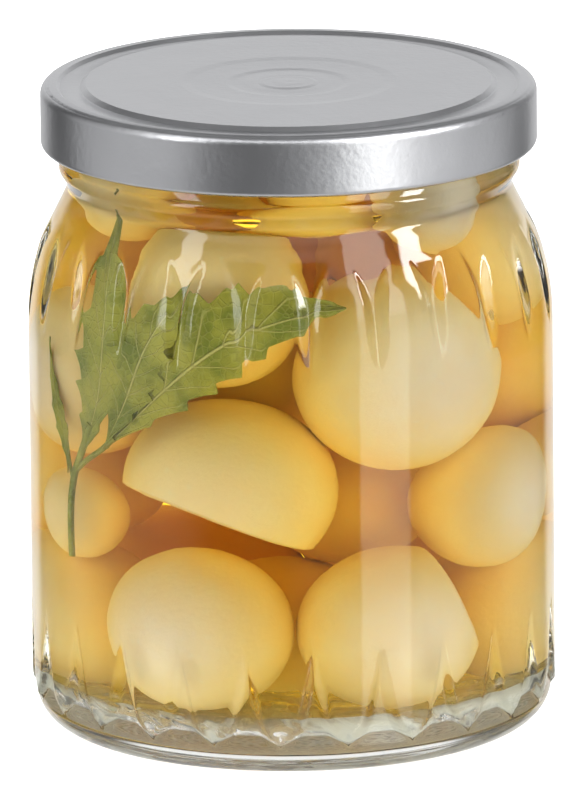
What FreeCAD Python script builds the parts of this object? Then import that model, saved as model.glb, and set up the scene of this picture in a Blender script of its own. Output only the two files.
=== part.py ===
"""A fluted half-litre preserving jar, closed by a stamped twist-off lid and filled with syrup.

Four pieces, all turned about the Z axis and measured in millimetres from the surface the jar stands on:
jar_glass, the pressed glass with its two rings of flutes; lid, the tinplate cap with its curled edge
and lugs; lid_seal, the ring of sealing compound in the lid's channel; syrup, the filling up to its level.
"""
import FreeCAD, Part
import math
import os
import re

import Sketcher

# Every size that can be set by itself, with what it measures. Lengths are in mm.
SIZES = [
    ("body_radius", 45.0, "outside of the straight wall"),
    ("wall", 3.0, "glass thickness of the straight wall"),
    ("rim_height", 109.9, "sealing rim above the surface the jar stands on"),
    ("finish_radius", 38.8, "outside of the plain band behind the lid"),
    ("finish_wall", 4.0, "glass thickness at that band"),
    ("rim_round", 1.3, "rounding of the rim's two corners"),
    ("bead_proud", 0.7, "how far the bead under the lid stands out of the band"),
    ("bead_round", 1.7, "rounding of the bead"),
    ("bead_rise", 1.5, "height of the bead's upper side"),
    ("bead_fall", 1.3, "height of the bead's lower side"),
    ("bead_tuck", 0.45, "how far the bead's lower side draws in"),
    ("bead_drop", 12.1, "rim down to the middle of the bead"),
    ("waist_inset", 1.0, "how far the waist lies inside the band"),
    ("waist_round", 1.5, "rounding of the waist"),
    ("waist_rise", 0.8, "height of the waist's upper side"),
    ("waist_flare", 0.4, "how far the waist's upper side opens out"),
    ("waist_fall", 1.0, "height of the waist's lower side"),
    ("waist_spread", 0.55, "how far the waist's lower side opens out"),
    ("waist_drop", 15.7, "rim down to the waist"),
    ("turn_drop", 25.3, "rim down to where the shoulder turns"),
    ("turn_inset", 2.35, "how far the shoulder's turn lies inside the straight wall"),
    ("straight_drop", 39.9, "rim down to the top of the straight wall"),
    ("shoulder_round", 46.5, "curve of the shoulder above the straight wall"),
    ("shoulder_wall", 3.4, "glass left between a shoulder flute and the cavity"),
    ("cavity_round", 28.0, "curve of the cavity from the straight wall to the shoulder"),
    ("cavity_lead", 4.0, "top of the straight wall down to where the cavity starts to curve"),
    ("cavity_low", 2.0, "flute's lower end up to where the cavity's slope starts"),
    ("cavity_high", 1.6, "shoulder's turn up to where the cavity's slope ends"),
    ("neck_round", 15.0, "curve of the cavity into the neck"),
    ("neck_rise", 1.8, "waist up to the end of that curve"),
    ("neck_fall", 2.4, "waist down to the start of that curve"),
    ("neck_flare", 0.6, "how much wider than the mouth the cavity is there"),
    ("band_inset", 0.65, "how far the heel band lies inside the straight wall"),
    ("band_step", 1.3, "height of the step between the wall and the heel band"),
    ("heel_round", 6.6, "rounding of the heel"),
    ("foot_width", 2.2, "width of the ring the jar stands on"),
    ("foot_slope", 1.2, "width of the slope inside that ring"),
    ("foot_rise", 0.9, "height of the slope inside that ring"),
    ("push_up", 2.4, "hollow under the middle of the base"),
    ("base_thick", 4.2, "glass thickness in the middle of the base"),
    ("floor_fall", 1.0, "how much the floor falls from the middle to its edge"),
    ("floor_round", 8.6, "rounding between the floor and the wall"),
    ("flute_count", 24, "flutes in each ring"),
    ("flute_turn", -85.6, "degrees from +X to the first flute"),
    ("tip_drop", 20.4, "rim down to the tips of the tongues between the shoulder flutes"),
    ("flute_drop", 38.9, "rim down to the lower end of the shoulder flutes"),
    ("fan_drop", 29.4, "rim down to where the shoulder flutes start to widen"),
    ("flute_width", 8.0, "twice the rounding of a flute's sides"),
    ("flute_share", 0.34, "share of that rounding that the flute's tool keeps"),
    ("flute_narrow", 0.3, "half width of the flat in a flute before it fans out"),
    ("flute_clear", 1.2, "how far the flute's tool is lifted above the tongues' tips"),
    ("flute_over", 3.0, "how far the flute's tool runs past the tips and past the lower end"),
    ("tool_proud", 2.0, "how far the flute's tool stands out of the jar"),
    ("low_depth", 0.7, "depth of the base flutes"),
    ("low_top", 23.5, "upper end of the base flutes"),
    ("low_fan", 18.5, "where the base flutes start to widen"),
    ("low_tip", 5.2, "tips of the tongues between the base flutes"),
    ("low_run", 2.8, "height over which a base flute runs out at its top"),
    ("low_over", 1.0, "how far the base flute's tool runs past its top"),
    ("low_clear", 0.25, "how far the tool has left the wall there"),
    ("fill_drop", 7.5, "rim down to the level of the syrup"),
    ("fill_gap", 0.1, "clearance between the syrup and the glass"),
    ("seal_thick", 1.0, "sealing compound between the rim and the lid"),
    ("seal_width", 3.1, "width of the ring of compound"),
    ("seal_offset", 0.6, "middle of the compound outside the middle of the rim"),
    ("sheet", 0.3, "tinplate of the lid"),
    ("skirt_gap", 3.4, "room between the plain band and the lid's skirt"),
    ("skirt_depth", 10.5, "height of the lid from its crest to its curled edge"),
    ("crest_rise", 0.5, "lid's crest above the floor of its channel"),
    ("crest_round", 1.5, "rounding from the crest to the skirt"),
    ("panel_rise", 0.7, "lid's panel above the floor of its channel"),
    ("panel_slope", 0.9, "width of the slope from the panel to the channel"),
    ("channel_room", 0.2, "how much wider the channel is than the compound, on each side"),
    ("crest_slope", 0.6, "width of the slope from the channel to the crest"),
    ("curl_round", 0.9, "rounding of the curled edge"),
    ("curl_lead", 0.6, "height of the slope from the curl to the skirt's inner face"),
    ("button_radius", 18.5, "outer edge of the vacuum button"),
    ("button_depth", 0.35, "how far the button is pressed down"),
    ("button_ring", 10.3, "step inside the button"),
    ("button_disc", 4.4, "raised disc in the middle of the button"),
    ("disc_rise", 0.15, "height of that disc"),
    ("disc_slope", 0.8, "width of the slope round the disc and inside the step"),
    ("step_slope", 0.4, "width of the slope outside the step"),
    ("step_rise", 0.12, "height of the step"),
    ("button_slope", 2.0, "width of the slope round the button"),
    ("button_dish", 0.2, "rise of the button from its step to its edge"),
    ("lug_count", 6, "lugs of the lid"),
    ("lug_turn", -60.8, "degrees from +X to the first lug"),
    ("lug_angle", 17.0, "degrees that a lug spans"),
    ("lug_thick", 1.2, "thickness of a lug"),
    ("lug_gap", 0.6, "clearance between a lug and the plain band"),
]

doc = FreeCAD.newDocument("preserving_jar")
sheet = doc.addObject("Spreadsheet::Sheet", "sizes")
for row, (alias, value, meaning) in enumerate(SIZES, start=1):
    sheet.set(f"A{row}", alias)
    sheet.set(f"B{row}", str(value))
    sheet.set(f"C{row}", meaning)
    sheet.setAlias(f"B{row}", alias)
doc.recompute()

# Places that several pieces share, each worked out from the sheet.
DERIVED = {
    "inner_radius": "(body_radius - wall)",
    "mouth_radius": "(finish_radius - finish_wall)",
    "waist_radius": "(finish_radius - waist_inset)",
    "bead_height": "(rim_height - bead_drop)",
    "waist_height": "(rim_height - waist_drop)",
    "turn_height": "(rim_height - turn_drop)",
    "turn_radius": "(body_radius - turn_inset)",
    "straight_height": "(rim_height - straight_drop)",
    "tip_height": "(rim_height - tip_drop)",
    "flute_end": "(rim_height - flute_drop)",
    "fan_height": "(rim_height - fan_drop)",
    "foot_radius": "(body_radius - band_inset - heel_round)",
    "fill_level": "(rim_height - fill_drop)",
    "channel_height": "(rim_height + seal_thick + sheet)",
    "crest_height": "(channel_height + crest_rise)",
    "panel_height": "(channel_height + panel_rise)",
    "skirt_radius": "(finish_radius + skirt_gap + sheet)",
    "curl_height": "(crest_height - skirt_depth + curl_round)",
    "seal_middle": "(finish_radius - finish_wall / 2 + seal_offset)",
    "tip_radius": "(waist_radius + (turn_radius - waist_radius) * (tip_drop - waist_drop)"
                  " / (turn_drop - waist_drop))",
    "flute_slope": "((body_radius - tip_radius) / (tip_height - flute_end))",
}


def spell(text):
    """An expression on the sheet: derived places are written out and aliases get the sheet's name."""
    while any(re.search(rf"\b{name}\b", text) for name in DERIVED):
        text = re.sub(r"\b[a-z_]+\b", lambda word: DERIVED.get(word[0], word[0]), text)
    aliases = {alias for alias, _, _ in SIZES}
    owned = lambda word: f"sizes.{word[0]}" if word[0] in aliases else word[0]
    return re.sub(r"\b[a-z_]+\b", owned, text)


def number(text):
    """The value of an expression as the sheet stands."""
    return float(doc.sizes.evalExpression(spell(text)))


def new_sketch(body, name, plane, height=None, turn=None):
    """A sketch on one of the body's own planes, raised and turned about Z by expressions."""
    sketch = body.newObject("Sketcher::SketchObject", name)
    origin_plane = [item for item in body.Origin.OriginFeatures if item.Role == plane][0]
    sketch.AttachmentSupport = [(origin_plane, "")]
    sketch.MapMode = "FlatFace"
    if height is not None:
        place = FreeCAD.Vector(0, 0, number(height))
        about_z = FreeCAD.Rotation(FreeCAD.Vector(0, 0, 1), number(turn))
        sketch.AttachmentOffset = FreeCAD.Placement(place, about_z)
        sketch.setExpression("AttachmentOffset.Base.z", spell(height))
        sketch.setExpression("AttachmentOffset.Rotation.Angle", spell(turn))
    return sketch


def arc_between(start, end, radius, way):
    """The arc from start to end that bends left (way 1) or right (way -1), drawn anticlockwise."""
    chord = end - start
    half = chord.Length / 2
    side = FreeCAD.Vector(-chord.y, chord.x, 0).normalize() * way
    centre = (start + end) * 0.5 + side * max(radius**2 - half**2, 0) ** 0.5
    first, last = (start, end) if way > 0 else (end, start)
    circle = Part.Circle(centre, FreeCAD.Vector(0, 0, 1), radius)
    return Part.ArcOfCircle(circle, circle.parameter(first), circle.parameter(last))


def draw(sketch, corners):
    """A closed outline. Each corner is (x, y), or (x, y, radius, way) where an arc arrives at it."""
    points = [FreeCAD.Vector(number(corner[0]), number(corner[1]), 0) for corner in corners]
    ends = []
    for index, corner in enumerate(corners):
        start, end = points[index - 1], points[index]
        if len(corner) == 4:
            edge = sketch.addGeometry(arc_between(start, end, number(corner[2]), corner[3]))
            ends.append((edge, 1, 2) if corner[3] > 0 else (edge, 2, 1))
        else:
            edge = sketch.addGeometry(Part.LineSegment(start, end))
            ends.append((edge, 1, 2))
    for index, corner in enumerate(corners):
        edge, _, last = ends[index]
        following, first, _ = ends[(index + 1) % len(corners)]
        sketch.addConstraint(Sketcher.Constraint("Coincident", edge, last, following, first))
        for kind, text in (("DistanceX", corner[0]), ("DistanceY", corner[1])):
            added = sketch.addConstraint(Sketcher.Constraint(kind, -1, 1, edge, last, number(text)))
            sketch.renameConstraint(added, f"{kind[-1].lower()}_{index}")
            sketch.setExpression(f"Constraints.{kind[-1].lower()}_{index}", spell(text))
        if len(corner) == 4:
            added = sketch.addConstraint(Sketcher.Constraint("Radius", edge, number(corner[2])))
            sketch.renameConstraint(added, f"round_{index}")
            sketch.setExpression(f"Constraints.round_{index}", spell(corner[2]))


def turned(body, name, corners, angle="360 deg"):
    """An outline turned about Z: all the way round, or by an angle centred on the XZ plane."""
    sketch = new_sketch(body, f"{name}_profile", "XZ_Plane")
    draw(sketch, corners)
    revolution = body.newObject("PartDesign::Revolution", name)
    revolution.Profile = sketch
    revolution.ReferenceAxis = (sketch, ["V_Axis"])
    revolution.Midplane = True
    revolution.setExpression("Angle", spell(angle))
    return revolution


def around(body, name, feature, count):
    """The feature repeated in a ring about Z."""
    ring = body.newObject("PartDesign::PolarPattern", name)
    ring.Originals = [feature]
    z_axis = [item for item in body.Origin.OriginFeatures if item.Role == "Z_Axis"][0]
    ring.Axis = (z_axis, [""])
    ring.Angle = 360
    ring.setExpression("Occurrences", spell(count))
    body.Tip = ring
    return ring


def cavity(gap):
    """The wall of the cavity from the middle of its floor to the neck, drawn in from it by gap."""
    floor = "push_up + base_thick"
    inner_line = f"(shoulder_wall + {gap})"
    low, high = "(flute_end + cavity_low)", "(turn_height + cavity_high)"
    return [
        ("0", f"{floor} + {gap}"),
        ("inner_radius - floor_round", f"{floor} - floor_fall + {gap}"),
        (f"inner_radius - {gap}", f"{floor} - floor_fall + floor_round", f"floor_round - {gap}", 1),
        (f"inner_radius - {gap}", "straight_height - cavity_lead"),
        (f"body_radius - flute_slope * ({low} - flute_end) - {inner_line}", low, "cavity_round", 1),
        (f"body_radius - flute_slope * ({high} - flute_end) - {inner_line}", high),
        (f"mouth_radius - {gap} + neck_flare", "waist_height - neck_fall"),
        (f"mouth_radius - {gap}", "waist_height + neck_rise", "neck_round", -1),
    ]


def flute_section(body, name, height, foot, fan):
    """A level section of the tool that presses a flute: its foot lies on a circle about Z."""
    half = "(flute_width / 2)"
    rise = "(flute_share * flute_width / 2)"
    spread = f"(sqrt(2 * {half} * {rise} - {rise} ^ 2))"
    foot_x = f"(sqrt({foot} ^ 2 - {fan} ^ 2))"
    sketch = new_sketch(body, name, "XY_Plane", height, "0")
    draw(
        sketch,
        [
            ("body_radius + tool_proud", f"0 - {fan} - {spread}"),
            ("body_radius + tool_proud", f"{fan} + {spread}"),
            (f"{foot_x} + {rise}", f"{fan} + {spread}"),
            (foot_x, fan, half, -1),
            (foot_x, f"0 - {fan}", foot, -1),
            (f"{foot_x} + {rise}", f"0 - {fan} - {spread}", half, -1),
        ],
    )
    return sketch


def press_flute(body, name, sections):
    """One flute, lofted through (height, foot radius, half width of the foot) and taken out of the body."""
    sketches = [
        flute_section(body, f"{name}_section_{index}", height, foot, fan)
        for index, (height, foot, fan) in enumerate(sections)
    ]
    loft = body.newObject("PartDesign::SubtractiveLoft", name)
    loft.Profile = sketches[0]
    loft.Sections = sketches[1:]
    loft.Ruled = True
    doc.recompute()
    body.Tip = loft


def shoulder_flute(half_pitch):
    """A straight cut across the bulge of the shoulder that fans out to the full pitch at its top."""
    above = "(tip_radius - flute_slope * flute_over + flute_clear)"
    full = f"(flute_narrow + tip_radius * {half_pitch})"
    sections = [("(tip_height + flute_over)", above, full)]
    for share in (1, 0.6, 0.3, 0):
        height = f"(fan_height + {share} * (tip_height - fan_height))"
        foot = f"(body_radius - flute_slope * ({height} - flute_end))"
        fan = f"(flute_narrow + {share ** 1.4:.4f} * tip_radius * {half_pitch})"
        sections.append((height, foot, fan))
    below = "(body_radius + flute_over * flute_slope)"
    sections.append(("(flute_end - flute_over)", below, "flute_narrow"))
    return sections


def base_flute(half_pitch):
    """A cut of even depth, run out at its top, that fans out to the full pitch on the heel."""
    foot = "(body_radius - low_depth)"
    sections = [
        ("(low_top + low_over)", "(body_radius + low_clear)", "flute_narrow"),
        ("(low_top - low_run)", foot, "flute_narrow"),
    ]
    for share in (0, 0.35, 0.7, 1):
        height = f"(low_fan - {share} * (low_fan - low_tip))"
        fan = f"(flute_narrow + {share ** 2:.4f} * body_radius * {half_pitch})"
        sections.append((height, foot, fan))
    return sections


def make_glass():
    """The pressed jar. One sector of it is turned and fluted, and its skin is repeated round the axis."""
    sector = doc.addObject("PartDesign::Body", "jar_sector")
    turned(
        sector,
        "shell",
        cavity("0")
        + [
            ("mouth_radius", "rim_height - rim_round"),
            ("mouth_radius + rim_round", "rim_height", "rim_round", -1),
            ("finish_radius - rim_round", "rim_height"),
            ("finish_radius", "rim_height - rim_round", "rim_round", -1),
            ("finish_radius", "bead_height + bead_rise"),
            ("finish_radius + bead_proud", "bead_height", "bead_round", -1),
            ("finish_radius + bead_proud - bead_tuck", "bead_height - bead_fall", "bead_round", -1),
            ("waist_radius + waist_flare", "waist_height + waist_rise"),
            ("waist_radius + waist_spread", "waist_height - waist_fall", "waist_round", 1),
            ("turn_radius", "turn_height"),
            ("body_radius", "straight_height", "shoulder_round", -1),
            ("body_radius", "heel_round + band_step"),
            ("body_radius - band_inset", "heel_round"),
            ("foot_radius", "0", "heel_round", -1),
            ("foot_radius - foot_width", "0"),
            ("foot_radius - foot_width - foot_slope", "foot_rise"),
            ("0", "push_up"),
        ],
        "360 deg / flute_count",
    )
    doc.recompute()
    half_pitch = "tan(180 deg / flute_count)"
    press_flute(sector, "shoulder_flute", shoulder_flute(half_pitch))
    press_flute(sector, "base_flute", base_flute(half_pitch))
    half = math.pi / number("flute_count")
    skin = [face for face in sector.Shape.Faces if not on_cut(face, half)]
    faces = []
    for index in range(int(number("flute_count"))):
        turn = number("flute_turn") + index * math.degrees(2 * half)
        faces += [face.rotated(FreeCAD.Vector(), FreeCAD.Vector(0, 0, 1), turn) for face in skin]
    ring = Part.makeCompound(faces)
    ring.sewShape(1e-4)
    glass = doc.addObject("Part::Feature", "jar_glass")
    glass.Shape = Part.Solid(Part.Shell(ring.Faces))
    return glass


def on_cut(face, half):
    """Whether a face is one of the two radial cuts that bound the sector."""
    normal = face.normalAt(0, 0)
    middle = face.CenterOfMass
    away = min(abs(middle.y - side * middle.x * math.tan(half)) for side in (-1, 1))
    return isinstance(face.Surface, Part.Plane) and away < 1e-4 and abs(normal.z) < 1e-6


def make_lid():
    """The stamped cap: a turned sheet with its panel, channel, crest, skirt and curl, and its lugs."""
    body = doc.addObject("PartDesign::Body", "lid")
    button = "(panel_height - button_depth)"
    channel_in = "(seal_middle - seal_width / 2 - channel_room)"
    channel_out = "(seal_middle + seal_width / 2 + channel_room)"
    top = [
        ("0", f"{button} + disc_rise"),
        ("button_disc", f"{button} + disc_rise"),
        ("button_disc + disc_slope", button),
        ("button_ring - disc_slope", button),
        ("button_ring + step_slope", f"{button} + step_rise"),
        ("button_radius - button_slope", f"{button} + button_dish"),
        ("button_radius", "panel_height"),
        (f"{channel_in} - panel_slope", "panel_height"),
        (channel_in, "channel_height"),
        (channel_out, "channel_height"),
        (f"{channel_out} + crest_slope", "crest_height"),
        ("skirt_radius - crest_round", "crest_height"),
    ]
    skirt = [
        ("skirt_radius", "crest_height - crest_round", "crest_round", -1),
        ("skirt_radius", "curl_height"),
        ("skirt_radius - curl_round", "curl_height - curl_round", "curl_round", -1),
        ("skirt_radius - 2 * curl_round", "curl_height", "curl_round", -1),
        ("skirt_radius - curl_round", "curl_height + curl_round", "curl_round", -1),
        ("skirt_radius - sheet", "curl_height + curl_round + curl_lead"),
        ("skirt_radius - sheet", "crest_height - crest_round"),
        ("skirt_radius - crest_round", "crest_height - sheet", "crest_round - sheet", 1),
    ]
    underside = [(x, f"{y} - sheet") for x, y in reversed(top[:-1])]
    turned(body, "cap", top + skirt + underside)
    doc.recompute()
    lug_in = "(finish_radius + lug_gap)"
    lug_floor = "curl_height - lug_thick / 2"
    sketch = new_sketch(body, "lug_profile", "XY_Plane", lug_floor, "lug_turn - lug_angle / 2")
    out = "(skirt_radius - curl_round)"
    draw(
        sketch,
        [
            (out, "0"),
            (f"{out} * cos(lug_angle * 1 deg)", f"{out} * sin(lug_angle * 1 deg)", out, 1),
            (f"{lug_in} * cos(lug_angle * 1 deg)", f"{lug_in} * sin(lug_angle * 1 deg)"),
            (lug_in, "0", lug_in, -1),
        ],
    )
    lug = body.newObject("PartDesign::Pad", "lug")
    lug.Profile = sketch
    lug.setExpression("Length", spell("lug_thick"))
    doc.recompute()
    around(body, "lug_ring", lug, "lug_count")
    return body


def make_seal():
    """The ring of compound that the rim presses against the floor of the lid's channel."""
    body = doc.addObject("PartDesign::Body", "lid_seal")
    inside, outside = "seal_middle - seal_width / 2", "seal_middle + seal_width / 2"
    top = "rim_height + seal_thick"
    turned(body, "ring", [(inside, "rim_height"), (outside, "rim_height"), (outside, top), (inside, top)])
    return body


def make_syrup():
    """The filling, from the floor of the cavity up to a level surface in the neck."""
    body = doc.addObject("PartDesign::Body", "syrup")
    level = [("mouth_radius - fill_gap", "fill_level"), ("0", "fill_level")]
    turned(body, "filling", cavity("fill_gap") + level)
    return body


pieces = [make_glass(), make_lid(), make_seal(), make_syrup()]
doc.recompute()

for item in doc.Objects:
    if {"Invalid", "Error"} & set(item.State):
        raise RuntimeError(f"{item.Name} did not rebuild: {item.State}")
for piece in pieces:
    if piece.Shape.isNull() or not piece.Shape.isValid() or len(piece.Shape.Solids) != 1:
        raise RuntimeError(f"{piece.Label} is not one valid solid")

os.makedirs("parts", exist_ok=True)
for piece in pieces:
    piece.Shape.exportStep(f"parts/{piece.Label}.step")
    box = piece.Shape.BoundBox
    print(f"{piece.Label}: {piece.Shape.Volume:.0f} mm3, z {box.ZMin:.2f} to {box.ZMax:.2f}")
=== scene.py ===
"""Looks of a fluted half-litre preserving jar: studio, pressed glass, syrup, fruit, herb, lid and seal."""

import math

import bpy
import numpy as np
from mathutils import Matrix, Vector


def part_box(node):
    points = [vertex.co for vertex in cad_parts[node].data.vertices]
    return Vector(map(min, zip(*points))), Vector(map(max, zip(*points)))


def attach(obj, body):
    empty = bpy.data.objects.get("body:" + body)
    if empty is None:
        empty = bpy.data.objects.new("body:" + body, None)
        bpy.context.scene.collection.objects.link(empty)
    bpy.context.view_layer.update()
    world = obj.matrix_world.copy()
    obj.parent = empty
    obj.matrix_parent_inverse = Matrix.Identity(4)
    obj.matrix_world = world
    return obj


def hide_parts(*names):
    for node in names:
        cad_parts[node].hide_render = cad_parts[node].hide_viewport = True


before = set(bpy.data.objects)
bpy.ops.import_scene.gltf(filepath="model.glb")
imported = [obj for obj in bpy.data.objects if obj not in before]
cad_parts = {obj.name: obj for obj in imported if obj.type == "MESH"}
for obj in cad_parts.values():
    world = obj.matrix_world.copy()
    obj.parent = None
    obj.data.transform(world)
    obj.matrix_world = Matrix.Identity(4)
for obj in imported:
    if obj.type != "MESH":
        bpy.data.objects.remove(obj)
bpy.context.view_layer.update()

# Camera: a long lens well back, looking a little down on the lid, with the jar filling the frame
# from top to bottom and its axis leaning half a degree to the left.
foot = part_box("jar_glass")[0].z
lid_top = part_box("lid")[1].z
aside, lower = 0.00035, 0.0003
middle = Vector((aside, 0.0, (foot + lid_top) / 2 - lower))
look_down = math.radians(13.9)
lean = math.radians(-0.55)
distance = 3.3
camera_data = bpy.data.cameras.new("camera")
camera_data.lens = 865
camera_data.sensor_width = 36
camera_data.clip_end = 20
camera = bpy.data.objects.new("camera", camera_data)
bpy.context.scene.collection.objects.link(camera)
back = Vector((0, -math.cos(look_down), math.sin(look_down)))
aim = Matrix.Rotation(math.pi / 2 - look_down, 4, "X") @ Matrix.Rotation(lean, 4, "Z")
camera.matrix_world = Matrix.Translation(middle + back * distance) @ aim
bpy.context.scene.camera = camera
bpy.context.scene.view_settings.view_transform = "Standard"

# Light passes many faces of glass and syrup before it leaves the jar, and a blurred gloss would
# dull the clear glass.
cycles = bpy.context.scene.cycles
cycles.max_bounces = 13
cycles.transmission_bounces = 11
cycles.glossy_bounces = 6
cycles.diffuse_bounces = 5
cycles.blur_glossy = 0
cycles.adaptive_threshold = 0.1


class Signal:
    """A socket in a node tree. Arithmetic on it adds Math nodes, and node() adds any other node."""

    def __init__(self, tree, socket=None):
        self.tree, self.socket = tree, socket

    def node(self, kind, settings, inputs, output=0):
        """Adds a node with its settings and the values or links of its sockets, and gives its output."""
        made = self.tree.nodes.new(kind)
        for name, value in settings.items():
            if name == "stops":
                stops = made.color_ramp.elements
                stops.remove(stops[1])
                stops[0].position = value[0][0]
                for place, _ in value[1:]:
                    stops.new(place)
                for stop, (_, colour) in zip(stops, value):
                    stop.color = colour
            elif name == "blend":
                made.color_ramp.interpolation = value
            else:
                setattr(made, name, value)
        for name, value in inputs.items():
            if isinstance(value, Signal):
                self.tree.links.new(value.socket, made.inputs[name])
            else:
                made.inputs[name].default_value = value
        return Signal(self.tree, made.outputs[output] if made.outputs else None)

    def math(self, operation, *values):
        """The result of a Math node on numbers or sockets."""
        return self.node("ShaderNodeMath", {"operation": operation}, dict(enumerate(values)))

    def step(self, start, end):
        """0 before start, 1 after end, with a soft change between them."""
        values = {"Value": self, "From Min": start, "From Max": end}
        return self.node("ShaderNodeMapRange", {"interpolation_type": "SMOOTHSTEP"}, values)

    def blend(self, first, second):
        """The first colour where this is 0, the second where it is 1."""
        factor, first_colour, second_colour, mixed_colour = 0, 6, 7, 2
        inputs = {factor: self, first_colour: first, second_colour: second}
        return self.node("ShaderNodeMix", {"data_type": "RGBA"}, inputs, mixed_colour)

    def mix(self, first, second):
        """The first shader where this is 0, the second where it is 1."""
        factor, first_shader, second_shader = 0, 1, 2
        inputs = {factor: self, first_shader: first, second_shader: second}
        return self.node("ShaderNodeMixShader", {}, inputs)

    def __add__(self, other):
        return self.math("ADD", self, other)

    def __mul__(self, other):
        return self.math("MULTIPLY", self, other)

    def __sub__(self, other):
        return self.math("SUBTRACT", self, other)

    def __rsub__(self, other):
        return self.math("SUBTRACT", other, self)

    def __truediv__(self, other):
        return self.math("DIVIDE", self, other)

    __radd__, __rmul__ = __add__, __mul__


def grey(value):
    """A colour without a hue. Above 1 it is a light's strength."""
    return (value, value, value, 1)


# Studio: a room of paper and lights, seen only in the glass and the metal. A white sheet hangs behind
# the jar between black flags, pale walls stand at its sides, and the side that the camera is on is dim.
# What is matt is lit by a plain pale dome instead, and the camera sees plain white.
world = bpy.data.worlds.new("studio")
bpy.context.scene.world = world
world.use_nodes = True
world.node_tree.nodes.clear()
room = Signal(world.node_tree)
direction = room.node("ShaderNodeTexCoord", {}, {})
x, y, z = [room.node("ShaderNodeSeparateXYZ", {}, {"Vector": direction}, axis) for axis in "XYZ"]

# Angles are in degrees: around is 0 at the camera and positive to its right, and rise is up from level.
around = room.math("ARCTAN2", x, 0 - y) * (180 / math.pi)
rise = room.math("ARCSINE", z) * (180 / math.pi)
away = room.math("ABSOLUTE", around)
walls = room.node(
    "ShaderNodeValToRGB",
    {
        "blend": "EASE",
        "stops": [
            (0.00, grey(1.00)),
            (0.07, grey(1.00)),
            (0.10, grey(0.05)),
            (0.15, grey(0.05)),
            (0.20, grey(0.62)),
            (0.34, grey(0.62)),
            (0.41, grey(0.10)),
            (0.48, grey(0.12)),
            (0.53, grey(0.35)),
            (0.66, grey(0.75)),
            (0.80, grey(0.62)),
            (0.86, grey(0.25)),
            (0.90, grey(0.05)),
            (0.93, grey(1.00)),
            (1.00, grey(1.00)),
        ],
    },
    {"Fac": around / 360 + 0.5},
)


def panel(left, right, bottom, top):
    """1 on a panel of the room, 0 outside it. Each edge goes from one angle to the other softly."""
    return around.step(*left) * (1 - around.step(*right)) * rise.step(*bottom) * (1 - rise.step(*top))


# A bright panel hangs over the front of a dim ceiling. A tall softbox, brighter in its upper part, and a
# narrow strip light stand at the right, and a lamp stands at the left.
upper_walls = rise.step(0, 12) * 0.12
ceiling = rise.step(26, 44)
front_panel = (1 - away.step(70, 100)) * rise.step(34, 42) * (1 - rise.step(56, 64))
table = 1 - rise.step(-50, -25)
softbox = panel(left=(29, 31), right=(52, 54), bottom=(-24, -22), top=(50, 52))
core = softbox * rise.step(6, 14)
strip = panel(left=(60, 62), right=(72, 74), bottom=(12, 16), top=(40, 44))
lamp = panel(left=(-62, -60), right=(-50, -48), bottom=(2, 6), top=(40, 42))
matt_depth = room.node("ShaderNodeLightPath", {}, {}, "Diffuse Depth")
dome = room.math("MINIMUM", matt_depth, 1.0)
backdrop = room.node("ShaderNodeLightPath", {}, {}, "Is Camera Ray")
shade = walls
for place, brightness in (
    (upper_walls, grey(0.0)),
    (ceiling, grey(0.2)),
    (front_panel, grey(1.6)),
    (table, grey(0.85)),
    (softbox, (2.6, 2.6, 2.55, 1)),
    (core, grey(5.0)),
    (strip, grey(20.0)),
    (lamp, grey(6.0)),
    (dome, grey(0.85)),
    (backdrop, grey(1.0)),
):
    shade = place.blend(shade, brightness)
surface = room.node("ShaderNodeBackground", {}, {"Color": shade, "Strength": 1.0})
room.node("ShaderNodeOutputWorld", {}, {"Surface": surface})

# Floor: a sheet of white paper that the jar stands on. It looks as white as the room behind it, apart
# from the soft shadow round the foot.
below_foot = 0.0002


def empty_material(name):
    """A new material with no nodes yet, and the Signal that adds them."""
    made = bpy.data.materials.new(name)
    made.use_nodes = True
    made.node_tree.nodes.clear()
    return made, Signal(made.node_tree)


bpy.ops.object.select_all(action="DESELECT")
bpy.ops.mesh.primitive_circle_add(
    vertices=96, radius=1.2, fill_type="NGON", location=(0, 0, foot - below_foot)
)
floor = bpy.context.object
floor.name = "floor"
bpy.ops.object.transform_apply(location=True)
floor.visible_glossy = False
paper, sheet = empty_material("white_paper")
matt = sheet.node("ShaderNodeBsdfDiffuse", {}, {"Color": grey(0.8)})
glow = sheet.node("ShaderNodeEmission", {}, {"Color": grey(1.0), "Strength": 0.95})
lit = sheet.node("ShaderNodeAddShader", {}, {0: matt, 1: glow})
seen_plainly = sheet.node("ShaderNodeLightPath", {}, {}, "Is Camera Ray")
seen_through_glass = sheet.node("ShaderNodeLightPath", {}, {}, "Is Transmission Ray")
mixed = (seen_plainly + seen_through_glass).mix(matt, lit)
sheet.node("ShaderNodeOutputMaterial", {}, {"Surface": mixed})
floor.data.materials.append(paper)

# Glass: one pressed soda-lime jar. The plunger leaves its cavity plain, and the mould leaves raised
# tongues with V-shaped flutes between them round the shoulder and the foot.
# Sizes are in mm, radii from the jar's axis and heights from its foot.
MM = 0.001
FLUTES = 24
FIRST_FLUTE = math.radians(-85.6)
WALL = 45
BORE = 42
MOUTH = 34.8
HEEL = 44.35
HEEL_CURVE = 6.6
TONGUE = 0.65
SHOULDER = 70
SHOULDER_CURVE = 46.5
CONE_START, CONE_END = (84.6, 42.65), (94.2, 37.8)
SOFTENING = 0.12
WELD = 2e-6


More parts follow.
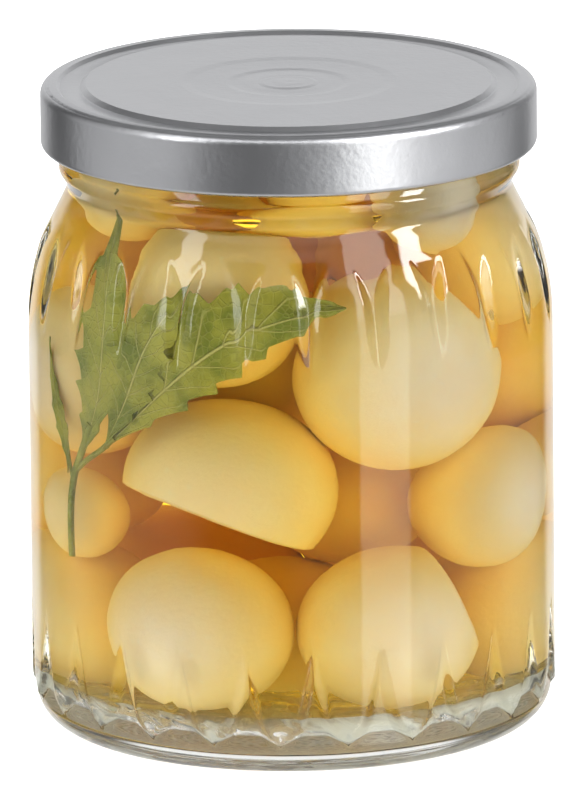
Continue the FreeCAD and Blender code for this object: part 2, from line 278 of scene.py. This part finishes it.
def bow(start, end, radius, steps):
    """Points on the arc from start to end, without start. It bends left, or right for a negative radius."""
    start, end = np.array(start, float), np.array(end, float)
    chord = end - start
    half = np.linalg.norm(chord) / 2
    side = np.array((-chord[1], chord[0])) / (2 * half) * math.copysign(1, radius)
    centre = (start + end) / 2 + side * math.sqrt(max(radius * radius - half * half, 0))
    first = math.atan2(*(start - centre)[::-1])
    last = math.atan2(*(end - centre)[::-1])
    swept = (last - first + math.pi) % (2 * math.pi) - math.pi
    angles = [first + swept * step / steps for step in range(1, steps + 1)]
    return [(centre[0] + abs(radius) * math.cos(a), centre[1] + abs(radius) * math.sin(a)) for a in angles]


def chain(name, points):
    """A new object in edit mode: a chain of edges through (radius, height) points in millimetres."""
    bpy.ops.object.select_all(action="DESELECT")
    bpy.ops.mesh.primitive_plane_add(size=MM)
    piece = bpy.context.object
    piece.name = piece.data.name = name
    bpy.ops.object.mode_set(mode="EDIT")
    bpy.ops.mesh.select_mode(type="VERT")
    bpy.ops.transform.translate(value=(points[0][0] * MM, 0, points[0][1] * MM))
    bpy.ops.mesh.merge(type="CENTER")
    for here, there in zip(points, points[1:]):
        move = ((there[0] - here[0]) * MM, 0, (there[1] - here[1]) * MM)
        bpy.ops.mesh.extrude_region_move(TRANSFORM_OT_translate={"value": move})
    bpy.ops.mesh.select_all(action="SELECT")
    return piece


def places(piece):
    """The vertices of a piece as an array, in millimetres."""
    spots = np.empty(len(piece.data.vertices) * 3)
    piece.data.vertices.foreach_get("co", spots)
    return spots.reshape(-1, 3) / MM


def settle(piece, spots):
    """Puts the vertices of a piece where an array in millimetres says."""
    piece.data.vertices.foreach_set("co", (spots * MM).ravel())
    piece.data.update()


def turn(steps, angle, weld, copies=False):
    """Spins the whole mesh round the jar's axis, or copies of it, and welds what meets."""
    bpy.ops.mesh.select_all(action="SELECT")
    bpy.ops.mesh.spin(steps=steps, dupli=copies, angle=angle, center=(0, 0, 0), axis=(0, 0, 1))
    bpy.ops.mesh.select_all(action="SELECT")
    bpy.ops.mesh.remove_doubles(threshold=weld)
    bpy.ops.mesh.select_all(action="SELECT")


def reach(spots):
    """How far points are from the jar's axis."""
    return np.hypot(spots[:, 0], spots[:, 1])


def bearing(spots):
    """The angles of points round the jar's axis."""
    return np.arctan2(spots[:, 1], spots[:, 0])


def cavity(gap):
    """The cavity's wall from the middle of its floor to the neck, moved out into the glass by gap."""
    rings = [*range(0, 31, 3), 33.4]
    heights = np.interp(rings, [0, 12, 24, 33.4], [6.6, 6.47, 6.1, 5.6])
    wall = [(ring, float(height) - gap) for ring, height in zip(rings, heights)]
    wall += bow(wall[-1], (BORE + gap, 14.2), 8.6 + gap, 10)
    wall += [(BORE + gap, height) for height in (24, 36, 48, 58, 66)]
    wall += bow(wall[-1], (41.1 + gap, 73), 28, 5)
    shoulder = [(39.9, 78), (38.8, 82.4), (37.85, 86.2), (36.6, 89), (35.4, 91.8)]
    wall += [(radius + gap, height) for radius, height in shoulder]
    return wall + bow(wall[-1], (MOUTH + gap, 96), -15, 5)


def swirled(spots):
    """Ripples the cavity's floor, which the plunger leaves wavy. The ripples fade at its edge and middle."""
    radius, angle = reach(spots), bearing(spots)
    on_floor = np.abs(spots[:, 2] - 6.2) < 0.9
    edge_fade = np.clip((33 - radius) / 6, 0, 1) * on_floor
    middle_fade = np.clip(radius / 4, 0, 1)
    wave = np.sin(radius * 0.55 + 1.6 * np.sin(angle * 2)) * 0.28
    wave += np.sin(radius * 1.1 + angle * 3) * 0.12
    return spots + np.column_stack((0 * wave, 0 * wave, wave * edge_fade * middle_fade))


def heel(height):
    """The radius of the rounded heel, and above it that of the wall inside the tongues."""
    rise = HEEL_CURVE - np.minimum(height, HEEL_CURVE)
    return HEEL - HEEL_CURVE + np.sqrt(np.maximum(HEEL_CURVE**2 - rise**2, 0))


def crest(height):
    """The radius of the tongues, which is that of the plain wall where there are no flutes."""
    cone_low, cone_high = CONE_START[1], CONE_END[1]
    cone = cone_low + (cone_high - cone_low) * (height - CONE_START[0]) / (CONE_END[0] - CONE_START[0])
    above = np.maximum(height - SHOULDER, 0)
    curve = WALL - SHOULDER_CURVE + np.sqrt(np.maximum(SHOULDER_CURVE**2 - above**2, 0))
    upper = np.where(height > CONE_START[0], cone, curve)
    return np.where(height < HEEL_CURVE, heel(height) + TONGUE, upper)


def flute(valley, slope, past_fan):
    """The radius of a V-shaped flute with a softened bottom, past the flat that fans out in its middle."""
    return valley + np.sqrt((slope * np.maximum(past_fan, 0)) ** 2 + SOFTENING**2) - SOFTENING


def fluted(spots):
    """Presses the flutes into the outside of a sector whose flute is centred on the XZ plane."""
    radius, height = reach(spots), spots[:, 2]
    across = np.abs(bearing(spots)) * radius
    skin = crest(height)
    fan = np.interp(height, [70, 80, 83, 85.4, 87.5, 89, 90], [0, 0, 0.35, 1.2, 2.4, 3.8, 5.7])
    slope = np.interp(height, [72, 75, 80], [0.42, 0.5, 0.66])
    valley = WALL - (height - 71) * 4.6 / 18.5
    shoulder_flute = flute(valley, slope, across - fan)
    heights = [6.2, 6.9, 8.2, 10.2, 13.9, 17.1, 19.2]
    fan = np.interp(height, heights, [5.9, 4.0, 2.5, 1.5, 0.6, 0.0, -0.3])
    deeper = 0.45 * np.interp(height, [5.5, 8, 16, 20.5], [0, 1, 1, 0])
    valley = heel(height) - deeper + np.maximum(height - 20.5, 0) * 0.7 / 3
    foot_flute = flute(valley, 0.8, across - fan)
    groove = np.where(height > 50, shoulder_flute, foot_flute)
    rounding = np.maximum(SOFTENING - np.abs(skin - groove), 0) ** 2 / (4 * SOFTENING)
    pressed = np.minimum(skin, groove) - rounding
    foot_band = (height > 4.1) & (height < 24.6)
    shoulder_band = (height > 69.4) & (height < 92)
    outside = (foot_band | shoulder_band) & (radius > skin - 0.9)
    scale = np.where(outside, np.minimum(pressed, WALL) / np.maximum(radius, 1), 1)
    return np.column_stack((spots[:, 0] * scale, spots[:, 1] * scale, height))


base = [(0, 2.4), (12, 2.1), (24, 1.6), (34.35, 0.9), (34.9, 0.25), (35.5, 0), (36.6, 0), (37.75, 0)]
base += bow(base[-1], (HEEL, HEEL_CURVE), HEEL_CURVE, 9)[:6]
foot_band = [(float(crest(h)) - (TONGUE if h < HEEL_CURVE else 0), h) for h in np.linspace(4.2, 24.4, 26)]
straight = [(WALL, height) for height in (28, 34, 42, 50, 58, 66)]
shoulder_band = [(float(crest(h)), h) for h in np.linspace(69.5, 91.9, 30)]
neck = [(38.35, 93.2)] + bow((38.35, 93.2), (38.2, 95), -1.5, 5) + [(38.65, 95.8), (39.05, 96.5)]
neck += bow(neck[-1], (39.5, 97.8), 1.7, 3) + bow((39.5, 97.8), (38.8, 99.3), 1.7, 4)
rim = [(38.8, 102), (38.8, 105), (38.8, 108.6)] + bow((38.8, 108.6), (37.5, 109.9), 1.3, 4)
rim += [(36.1, 109.9)] + bow((36.1, 109.9), (MOUTH, 108.6), 1.3, 4) + [(MOUTH, 102)]
profile = base + foot_band + straight + shoulder_band + neck + rim + cavity(0)[::-1]
glass = chain("fluted_glass", profile)
sector = 2 * math.pi / FLUTES
turn(steps=26, angle=sector, weld=1e-7)
bpy.ops.transform.rotate(value=-sector / 2, orient_axis="Z", center_override=(0, 0, 0))
bpy.ops.object.mode_set(mode="OBJECT")
settle(glass, fluted(places(glass)))
bpy.ops.object.mode_set(mode="EDIT")
turn(steps=FLUTES - 1, angle=sector * (FLUTES - 1), weld=WELD, copies=True)
bpy.ops.mesh.normals_make_consistent(inside=False)
bpy.ops.transform.rotate(value=-FIRST_FLUTE, orient_axis="Z", center_override=(0, 0, 0))
bpy.ops.object.mode_set(mode="OBJECT")
bpy.ops.object.shade_smooth()

# The ring that the jar stands on is knurled with fine radial teeth.
spots = swirled(places(glass))
ring, height = reach(spots), spots[:, 2]
tooth = np.sin(bearing(spots) * FLUTES * 6.5) > 0
knurled = tooth & (ring > 35.3) & (ring < 37.8) & (height < 0.1)
spots[:, 2] += 0.2 * knurled
settle(glass, spots)

# Clear glass, and the same glass where the syrup wets it, which has no gloss of its own.
soda_glass, melt = empty_material("soda_glass")
point = melt.node("ShaderNodeTexCoord", {}, {}, "Object")
ripple = melt.node("ShaderNodeTexNoise", {}, {"Vector": point, "Scale": 160.0, "Detail": 1.0})
bump = melt.node("ShaderNodeBump", {}, {"Height": ripple, "Strength": 0.25, "Distance": 0.0001})
shader = melt.node(
    "ShaderNodeBsdfPrincipled",
    {},
    {
        "Base Color": (0.975, 0.99, 0.98, 1),
        "Roughness": 0.0,
        "IOR": 1.5,
        "Transmission Weight": 1.0,
        "Normal": bump,
    },
)
melt.node("ShaderNodeOutputMaterial", {}, {"Surface": shader})
wetted_glass = soda_glass.copy()
wetted_glass.name = "wetted_glass"
wetted_glass.node_tree.nodes["Principled BSDF"].inputs["Specular Tint"].default_value = grey(0.0)

# The underside is stippled with small frosted dots.
stippled_glass, stipple = empty_material("stippled_glass")
point = stipple.node("ShaderNodeTexCoord", {}, {}, "Object")
dots = stipple.node("ShaderNodeTexVoronoi", {}, {"Vector": point, "Scale": 900.0})
bump = stipple.node("ShaderNodeBump", {}, {"Height": dots, "Strength": 1.0, "Distance": 0.0004})
clear = stipple.node(
    "ShaderNodeBsdfPrincipled",
    {},
    {"Roughness": 0.4, "IOR": 1.5, "Transmission Weight": 1.0, "Normal": bump},
)
frost = stipple.node("ShaderNodeBsdfDiffuse", {}, {"Color": (0.90, 0.87, 0.82, 1)})
mixed = (dots.step(0.0, 0.8) * 0.15).mix(clear, frost)
stipple.node("ShaderNodeOutputMaterial", {}, {"Surface": mixed})

# The cavity's floor and the curve round it are rippled, with pale streaks in the chilled glass.
rippled_glass, chill = empty_material("rippled_glass")
point = chill.node("ShaderNodeTexCoord", {}, {}, "Object")
streak = chill.node(
    "ShaderNodeTexNoise", {}, {"Vector": point, "Scale": 75.0, "Detail": 3.0, "Distortion": 1.5}
)
bump = chill.node("ShaderNodeBump", {}, {"Height": streak, "Strength": 0.6, "Distance": 0.0012})
clear = chill.node(
    "ShaderNodeBsdfPrincipled",
    {},
    {
        "Roughness": 0.05,
        "IOR": 1.5,
        "Transmission Weight": 1.0,
        "Specular Tint": grey(0.0),
        "Normal": bump,
    },
)
frost = chill.node("ShaderNodeBsdfDiffuse", {}, {"Color": (0.84, 0.86, 0.78, 1), "Normal": bump})
mixed = (0.08 + streak.step(0.46, 0.60) * 0.62).mix(clear, frost)
chill.node("ShaderNodeOutputMaterial", {}, {"Surface": mixed})

# Each face takes its material from where all its corners are.
for material in (soda_glass, wetted_glass, stippled_glass, rippled_glass):
    glass.data.materials.append(material)
CLEAR, WETTED, STIPPLED, RIPPLED = range(4)
spots = places(glass)
ring, height = reach(spots), spots[:, 2]
wetted_heights = [5.0, 68, 73, 86.2, 91.8, 96, 110]
wetted_radii = [42.3, 42.3, 41.8, 38.5, 36.1, 35.2, 35.2]
wetted = (ring < np.interp(height, wetted_heights, wetted_radii)) & (height > 5.0) & (height < 102.5)
regions = (
    (RIPPLED, wetted & (height < 11.5)),
    (WETTED, wetted),
    (STIPPLED, (height < 2.6) & (ring < 37.9)),
)
slots = [CLEAR] * len(glass.data.polygons)
for face in glass.data.polygons:
    for slot, region in regions:
        if all(region[corner] for corner in face.vertices):
            slots[face.index] = slot
            break
glass.data.polygons.foreach_set("material_index", slots)
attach(glass, "root")
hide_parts("jar_glass")

# Syrup: sugar syrup, clear and amber, filled hot up to the neck. It wets the glass, so its skin lies
# just inside the wall's surface, and its top turns up a little where it meets it.
SKIN = 0.15
level = [(MOUTH + SKIN, 103.4), (33.9, 102.75), (32.6, 102.45), (30, 102.4), (15, 102.4), (0, 102.4)]
syrup = chain("clear_syrup", cavity(SKIN) + level)
turn(steps=144, angle=2 * math.pi, weld=WELD)
bpy.ops.mesh.normals_make_consistent(inside=False)
bpy.ops.object.mode_set(mode="OBJECT")
bpy.ops.object.shade_smooth()
settle(syrup, swirled(places(syrup)))
sugar_syrup, liquid = empty_material("sugar_syrup")
shader = liquid.node(
    "ShaderNodeBsdfPrincipled",
    {},
    {
        "Base Color": grey(1.0),
        "Roughness": 0.0,
        "IOR": 1.37,
        "Transmission Weight": 1.0,
        "Specular Tint": grey(0.0),
    },
)
tint = liquid.node("ShaderNodeVolumeAbsorption", {}, {"Color": (0.998, 0.85, 0.03, 1), "Density": 52.0})
liquid.node("ShaderNodeOutputMaterial", {}, {"Surface": shader, "Volume": tint})
syrup.data.materials.append(sugar_syrup)
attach(syrup, "root")
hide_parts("syrup")

# Fruit: balls scooped out of pale yellow flesh and cooked in the syrup. Each keeps the flat side
# where the scoop left the fruit, with a soft rim round it.
BALLS = [
    # centre and radius in mm, the way that the flat side faces, and how far in mm it is from the centre
    ((-9.3, -20.0, 46.5), 16.0, (-0.36, -0.1, -0.93), 5.0),
    ((16.1, -19.2, 65.8), 16.0, (0.5, 0.6, 0.62), 11.0),
    ((-14.3, -22.2, 22.2), 14.4, (0.3, 0.9, -0.1), 9.0),
    ((14.8, -21.8, 22.2), 14.4, (0.8, 0.35, 0.42), 10.0),
    ((-10.6, -17.3, 77.6), 13.2, (0.2, 0.9, 0.3), 9.0),
    ((-28.1, 2.0, 20.4), 13.4, (0.6, 0.7, 0.3), 8.0),
    ((27.8, 4.4, 20.4), 13.4, (-0.5, 0.8, 0.2), 8.5),
    ((-12.0, 24.5, 21.2), 14.2, (0.1, 0.9, 0.3), 11.0),
    ((-1.2, 0.6, 19.0), 12.0, (0.2, 0.4, -0.85), 8.0),
    ((-5.1, 27.3, 52.8), 13.8, (0.3, 0.9, 0.2), 9.0),
    ((13.6, 24.2, 32.7), 13.8, (-0.3, 0.9, -0.2), 9.0),
    ((27.8, -9.4, 42.0), 12.2, (-0.3, 0.9, -0.2), 8.0),
    ((-25.7, 13.3, 43.7), 12.6, (0.7, 0.6, 0.2), 8.0),
    ((-28.1, -4.3, 62.6), 13.2, (0.5, 0.8, 0.1), 8.0),
    ((-3.3, 2.8, 62.6), 12.5, (0.3, 0.8, -0.5), 8.0),
    ((20.0, 19.7, 60.5), 13.4, (-0.6, 0.5, 0.5), 8.5),
    ((25.5, 2.9, 81.5), 12.6, (-0.2, 0.9, 0.3), 8.0),
    ((-21.2, 18.7, 71.7), 12.4, (0.4, 0.7, -0.5), 8.0),
    ((1.2, 26.9, 78.1), 12.2, (0.1, 0.7, -0.6), 8.0),
    ((6.9, 1.9, 40.1), 10.5, (0.1, 0.7, 0.6), 7.0),
    ((2.7, 7.7, 88.0), 8.8, (0.1, 0.8, 0.5), 7.0),
    ((-21.6, -3.2, 91.8), 9.5, (0.1, 0.8, 0.3), 7.0),
    ((20.8, -15.2, 92.9), 9.0, (-0.2, 0.9, 0.1), 7.0),
    ((16.0, 19.6, 92.4), 9.5, (0.3, 0.8, 0.1), 7.0),
    ((-12.7, 16.8, 92.4), 9.5, (-0.3, 0.8, 0.2), 7.0),
    ((3.6, -9.5, 92.9), 9.0, (0.1, 0.9, -0.2), 7.0),
    ((-30.0, -8.0, 39.5), 7.8, (0.4, 0.9, -0.2), 6.0),
    ((30.3, 11.7, 42.1), 9.0, (-0.1, 0.9, 0.2), 7.0),
    ((9.4, 10.5, 74.5), 6.4, (-0.1, 0.9, 0.2), 6.0),
]
# The flat side rises in rings. Each is drawn in to a share of the one before, and lifted by so many metres.
CROWN = [(0.95, 0.0003), (0.88, 0.0003), (0.75, 0.0001), (0.5, 0.00005), (0.4, 0.0)]
lumps = bpy.data.textures.new("lumps", "CLOUDS")
lumps.noise_scale = 0.011
scoops = []
for index, (centre, radius, facing, flat) in enumerate(BALLS):
    bpy.ops.object.select_all(action="DESELECT")
    spot = Vector(centre) * MM
    facing = Vector(facing).normalized()
    bpy.ops.mesh.primitive_uv_sphere_add(segments=64, ring_count=32, radius=radius * MM, location=spot)
    ball = bpy.context.object
    ball.name = f"fruit_ball_{index}"
    bpy.ops.object.transform_apply(location=True)
    bpy.ops.object.mode_set(mode="EDIT")
    bpy.ops.mesh.select_all(action="SELECT")
    cut = spot + facing * flat * MM
    bpy.ops.mesh.bisect(plane_co=cut, plane_no=facing, use_fill=True, clear_outer=True, threshold=1e-6)
    for share, lift in CROWN:
        bpy.ops.mesh.extrude_region_move(TRANSFORM_OT_translate={"value": facing * lift})
        bpy.ops.transform.resize(value=(share, share, share), center_override=cut)
    bpy.ops.mesh.merge(type="CENTER")
    bpy.ops.object.mode_set(mode="OBJECT")
    bpy.ops.object.shade_smooth()
    displace = ball.modifiers.new("lumps", "DISPLACE")
    displace.texture = lumps
    displace.texture_coords = "GLOBAL"
    displace.strength = 0.0006
    bpy.ops.object.modifier_apply(modifier=displace.name)
    bpy.ops.object.shade_smooth_by_angle(angle=math.radians(50))
    scoops.append(ball)
bpy.ops.object.select_all(action="DESELECT")
for ball in scoops:
    ball.select_set(True)
bpy.context.view_layer.objects.active = scoops[0]
bpy.ops.object.join()
fruit = bpy.context.object
fruit.name = fruit.data.name = "fruit_balls"

# The glass holds the balls in: they stop just short of the wall, of the floor and of the syrup's top.
spots = places(fruit)
ring = reach(spots)
limit_heights = [6.6, 8, 10, 14.2, 66, 69, 73, 86.2, 91.8, 96]
limit_radii = [35, 37.5, 40, 41.7, 41.7, 41.5, 40.8, 37.5, 35.1, 34.5]
limit = np.interp(spots[:, 2], limit_heights, limit_radii)
spots[:, :2] *= (np.minimum(ring, limit) / np.maximum(ring, 1e-6))[:, None]
lowest, highest = 7.1, 101.9
spots[:, 2] = np.clip(spots[:, 2], lowest, highest)
settle(fruit, spots)
flesh, pulp = empty_material("poached_fruit")
point = pulp.node("ShaderNodeTexCoord", {}, {}, "Object")
cloud = pulp.node("ShaderNodeTexNoise", {}, {"Vector": point, "Scale": 90.0, "Detail": 3.0})
fleck = pulp.node("ShaderNodeTexNoise", {}, {"Vector": point, "Scale": 900.0, "Detail": 2.0})
colour = cloud.step(0.35, 0.68).blend((0.985, 0.80, 0.55, 1), (0.985, 0.84, 0.64, 1))
colour = (fleck.step(0.6, 0.75) * 0.35).blend(colour, (0.97, 0.90, 0.76, 1))
bump = pulp.node("ShaderNodeBump", {}, {"Height": fleck + cloud * 2, "Strength": 0.35, "Distance": 0.0002})
shader = pulp.node(
    "ShaderNodeBsdfPrincipled",
    {},
    {
        "Base Color": colour,
        "Roughness": 0.5,
        "IOR": 1.4,
        "Specular IOR Level": 0.15,
        "Subsurface Weight": 0.15,
        "Subsurface Radius": (1.0, 0.7, 0.35),
        "Subsurface Scale": 0.005,
        "Normal": bump,
    },
)
pulp.node("ShaderNodeOutputMaterial", {}, {"Surface": shader})
fruit.data.materials.append(flesh)
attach(fruit, "root")

# Herb: a sprig of toothed leaves that floats between the fruit and the glass. The stem forks into a
# broad leaf of three leaflets, a narrow upright leaf and a thin young one.
INNER_HEIGHTS = [10, 66, 69, 73, 86.2, 91.8, 96, 110]
INNER_RADII = [BORE, BORE, 41.8, 41.1, 37.85, 35.4, MOUTH, MOUTH]


def against_wall(around_wall, heights, depth):
    """Places in mm at angles in degrees from the front, at heights, and at a depth inside the glass."""
    radius = np.interp(heights, INNER_HEIGHTS, INNER_RADII) - depth
    angle = np.radians(around_wall)
    return np.column_stack((radius * np.sin(angle), -radius * np.cos(angle), heights))


def leaflet(name, spine, half_width, teeth, depth, ripple):
    """A toothed blade along (angle, height) points, widest before its middle, rippled across its veins."""
    bpy.ops.object.select_all(action="DESELECT")
    bpy.ops.mesh.primitive_grid_add(x_subdivisions=96, y_subdivisions=20, size=1)
    blade = bpy.context.object
    blade.name = blade.data.name = name
    grid = np.empty(len(blade.data.vertices) * 3)
    blade.data.vertices.foreach_get("co", grid)
    along, across = grid[0::3] + 0.5, grid[1::3] * 2
    off_middle = np.abs(across)

    # The blade is laid out flat, in mm along the wall and up it, and its middle follows the spine.
    mm_per_degree = 37.0 * math.pi / 180
    knots = np.linspace(0, 1, len(spine))
    across_wall, up_wall = np.array(spine).T
    power = min(3, len(spine) - 1)
    fit = [np.polyfit(knots, values, power) for values in (across_wall * mm_per_degree, up_wall)]

    # Each tooth swells slowly towards the tip and drops back over the last part of its length.
    swell = 0.82
    tooth = (along * teeth) % 1.0
    edge = off_middle**2
    saw = np.clip(tooth / swell, 0, 1) ** 1.3 - np.clip((tooth - swell) / 0.18, 0, 1)
    shape = np.sin(np.pi * np.clip(along, 0, 1) ** 0.9) ** 0.95
    width = half_width * (1 + 0.25 * across) * shape * (1 + 0.42 * edge * saw * (along < 0.97))
    forward = along + 0.05 * edge * (1 - along)
    here = [np.polyval(curve, forward) for curve in fit]
    slope = [np.polyval(np.polyder(curve), forward) for curve in fit]
    length = np.hypot(*slope)
    flat_x = here[0] - slope[1] / length * width * across
    flat_y = here[1] + slope[0] / length * width * across
    fold = ripple * (np.sin(along * teeth * 2 * np.pi + 5 * off_middle) * 0.35 * off_middle)
    fold += ripple * (0.9 * off_middle + 0.5 * np.sin(along * 7 + across * 1.5))
    settle(blade, against_wall(flat_x / mm_per_degree, flat_y, depth + fold))
    thick = blade.modifiers.new("thickness", "SOLIDIFY")
    thick.thickness = 0.00022
    thick.offset = 0
    bpy.ops.object.modifier_apply(modifier=thick.name)
    bpy.ops.object.shade_smooth_by_angle(angle=math.radians(60))
    blade.data.materials.append(leaf_green)
    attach(blade, "root")


leaf_green, green = empty_material("leaf_green")
chart = green.node("ShaderNodeTexCoord", {}, {}, "UV")
u, v = [green.node("ShaderNodeSeparateXYZ", {}, {"Vector": chart}, axis) for axis in "XY"]
point = green.node("ShaderNodeTexCoord", {}, {}, "Object")

# Veins: a midrib, side ribs that slant towards the tip and fade before the edge, and a fine mesh.
side = v - 0.5
off = green.math("ABSOLUTE", side) * 2
midrib = 1 - off.step(0.02, 0.07)
rib = green.math("FRACT", (u - off * 0.16) * 7 + 0.5) - 0.5
rib = green.math("ABSOLUTE", rib) * 2
side_rib = (1 - rib.step(0.03, 0.12)) * (1 - off.step(0.6, 1.0))
cells = green.node(
    "ShaderNodeTexVoronoi", {"feature": "DISTANCE_TO_EDGE"}, {"Vector": point, "Scale": 700.0}
)
fine = 1 - cells.step(0.02, 0.12)
blotch = green.node("ShaderNodeTexNoise", {}, {"Vector": point, "Scale": 140.0, "Detail": 3.0})
vein_green = (0.62, 0.60, 0.22, 1)
colour = blotch.step(0.35, 0.65).blend((0.19, 0.23, 0.03, 1), (0.42, 0.41, 0.07, 1))
colour = (fine * 0.25).blend(colour, (0.45, 0.46, 0.14, 1))
colour = (side_rib * 0.7).blend(colour, vein_green)
colour = (midrib * 0.9).blend(colour, vein_green)
height = fine * 0.3 + side_rib + midrib * 1.5 + blotch
bump = green.node("ShaderNodeBump", {}, {"Height": height, "Strength": 0.8, "Distance": 0.0003})
shader = green.node(
    "ShaderNodeBsdfPrincipled",
    {},
    {"Base Color": colour, "Roughness": 0.5, "Specular IOR Level": 0.2, "Normal": bump},
)
green.node("ShaderNodeOutputMaterial", {}, {"Surface": shader})
leaflet(
    "leaf_right",
    [(-49.5, 54.1), (-35.8, 63.6), (-25.5, 69.8), (-16.3, 74.6), (-1.4, 79.3), (13.8, 80.1)],
    half_width=5.8, teeth=7, depth=2.2, ripple=0.8,
)
leaflet(
    "leaf_upper",
    [(-49.2, 54.4), (-41.9, 63.4), (-38.5, 69.9), (-34.2, 75.7), (-26.1, 84.2)],
    half_width=4.6, teeth=6, depth=1.4, ripple=0.6,
)
leaflet(
    "leaf_lower",
    [(-49.5, 54.2), (-42.0, 61.5), (-33.0, 68.0), (-21.0, 73.0), (-8.0, 77.0)],
    half_width=2.4, teeth=6, depth=3.2, ripple=0.4,
)
leaflet(
    "leaf_upright",
    [(-58.8, 50.9), (-53.3, 58.4), (-50.0, 66.0), (-49.9, 74.4), (-51.7, 83.4), (-56.3, 96.1)],
    half_width=3.6, teeth=6, depth=1.6, ripple=0.5,
)
leaflet(
    "leaf_young",
    [(-63.1, 48.1), (-64.8, 54.9), (-68.6, 61.4), (-72.3, 70.5)],
    half_width=1.3, teeth=5, depth=1.6, ripple=0.3,
)
stalk_depth = 2.0
stalks = [
    # name, (angle, height) points, and the radius in mm
    ("main_stem", [(-62.1, 33.6), (-62.9, 41.1), (-60.9, 48.4), (-57.5, 52.5), (-54.0, 58.0)], 0.75),
    ("side_stalk", [(-60.9, 48.4), (-56.4, 51.2), (-49.3, 54.3), (-46.0, 56.6)], 0.5),
    ("thin_stalk", [(-61.0, 46.5), (-63.1, 50.5), (-64.0, 54.0)], 0.4),
]
for name, route, radius in stalks:
    line = bpy.data.curves.new(name, "CURVE")
    line.dimensions = "3D"
    run = line.splines.new("NURBS")
    spots = against_wall(*np.array(route).T, stalk_depth) * MM
    run.points.add(len(spots) - 1)
    for place, spot in zip(run.points, spots):
        place.co = (*spot, 1)
    run.order_u = 3
    run.use_endpoint_u = True
    line.bevel_depth = radius * MM
    line.bevel_resolution = 3
    line.use_fill_caps = True
    stalk = bpy.data.objects.new(name, line)
    bpy.context.scene.collection.objects.link(stalk)
    bpy.ops.object.select_all(action="DESELECT")
    stalk.select_set(True)
    bpy.context.view_layer.objects.active = stalk
    bpy.ops.object.convert(target="MESH")
    stalk = bpy.context.object
    bpy.ops.object.shade_smooth()
    stalk.data.materials.append(leaf_green)
    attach(stalk, "root")

# Lid: a tinplate cap, stamped with a channel round its top, coated with a clear silver lacquer and rolled
# in at its edge. Fine rings stand in its middle, and the coat is faintly dented and grained.
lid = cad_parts["lid"]
tinplate, metal = empty_material("lacquered_tinplate")
point = metal.node("ShaderNodeTexCoord", {}, {}, "Object")
x, y = [metal.node("ShaderNodeSeparateXYZ", {}, {"Vector": point}, axis) for axis in "XY"]
radius = metal.math("SQRT", x * x + y * y) * 1000
rings = metal.math("SINE", radius * 1.3) * (1 - radius.step(8, 15))
grain = metal.node("ShaderNodeTexNoise", {}, {"Vector": point, "Scale": 900.0, "Detail": 3.0})
dent = metal.node("ShaderNodeTexNoise", {}, {"Vector": point, "Scale": 260.0, "Detail": 2.0})
wave = metal.node("ShaderNodeTexNoise", {}, {"Vector": point, "Scale": 60.0, "Detail": 2.0})
height = grain + dent * 0.7 + rings * 0.5
bump = metal.node("ShaderNodeBump", {}, {"Height": height, "Strength": 0.6, "Distance": 0.0001})
edge_middle, edge_half = 38.8, 2.9
edge = (radius - edge_middle) / edge_half
raised = metal.math("MAXIMUM", 1 - edge * edge, 0.0)
bump = metal.node(
    "ShaderNodeBump", {}, {"Height": raised, "Strength": 1.0, "Distance": 0.0005, "Normal": bump}
)
rough = 0.31 + wave * 0.08
colour = wave.step(0.3, 0.7).blend((0.54, 0.545, 0.565, 1), (0.58, 0.585, 0.605, 1))
shader = metal.node(
    "ShaderNodeBsdfPrincipled",
    {},
    {"Base Color": colour, "Metallic": 1.0, "Roughness": rough, "Normal": bump},
)
metal.node("ShaderNodeOutputMaterial", {}, {"Surface": shader})
lid.data.materials.clear()
lid.data.materials.append(tinplate)

# Seal: a ring of soft off-white compound, flowed into the lid's channel and pressed on the rim.
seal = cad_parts["lid_seal"]
compound, rubber = empty_material("sealing_compound")
point = rubber.node("ShaderNodeTexCoord", {}, {}, "Object")
pores = rubber.node("ShaderNodeTexNoise", {}, {"Vector": point, "Scale": 700.0, "Detail": 2.0})
colour = pores.blend((0.72, 0.70, 0.64, 1), (0.80, 0.78, 0.72, 1))
shader = rubber.node("ShaderNodeBsdfPrincipled", {}, {"Base Color": colour, "Roughness": 0.55})
rubber.node("ShaderNodeOutputMaterial", {}, {"Surface": shader})
seal.data.materials.clear()
seal.data.materials.append(compound)
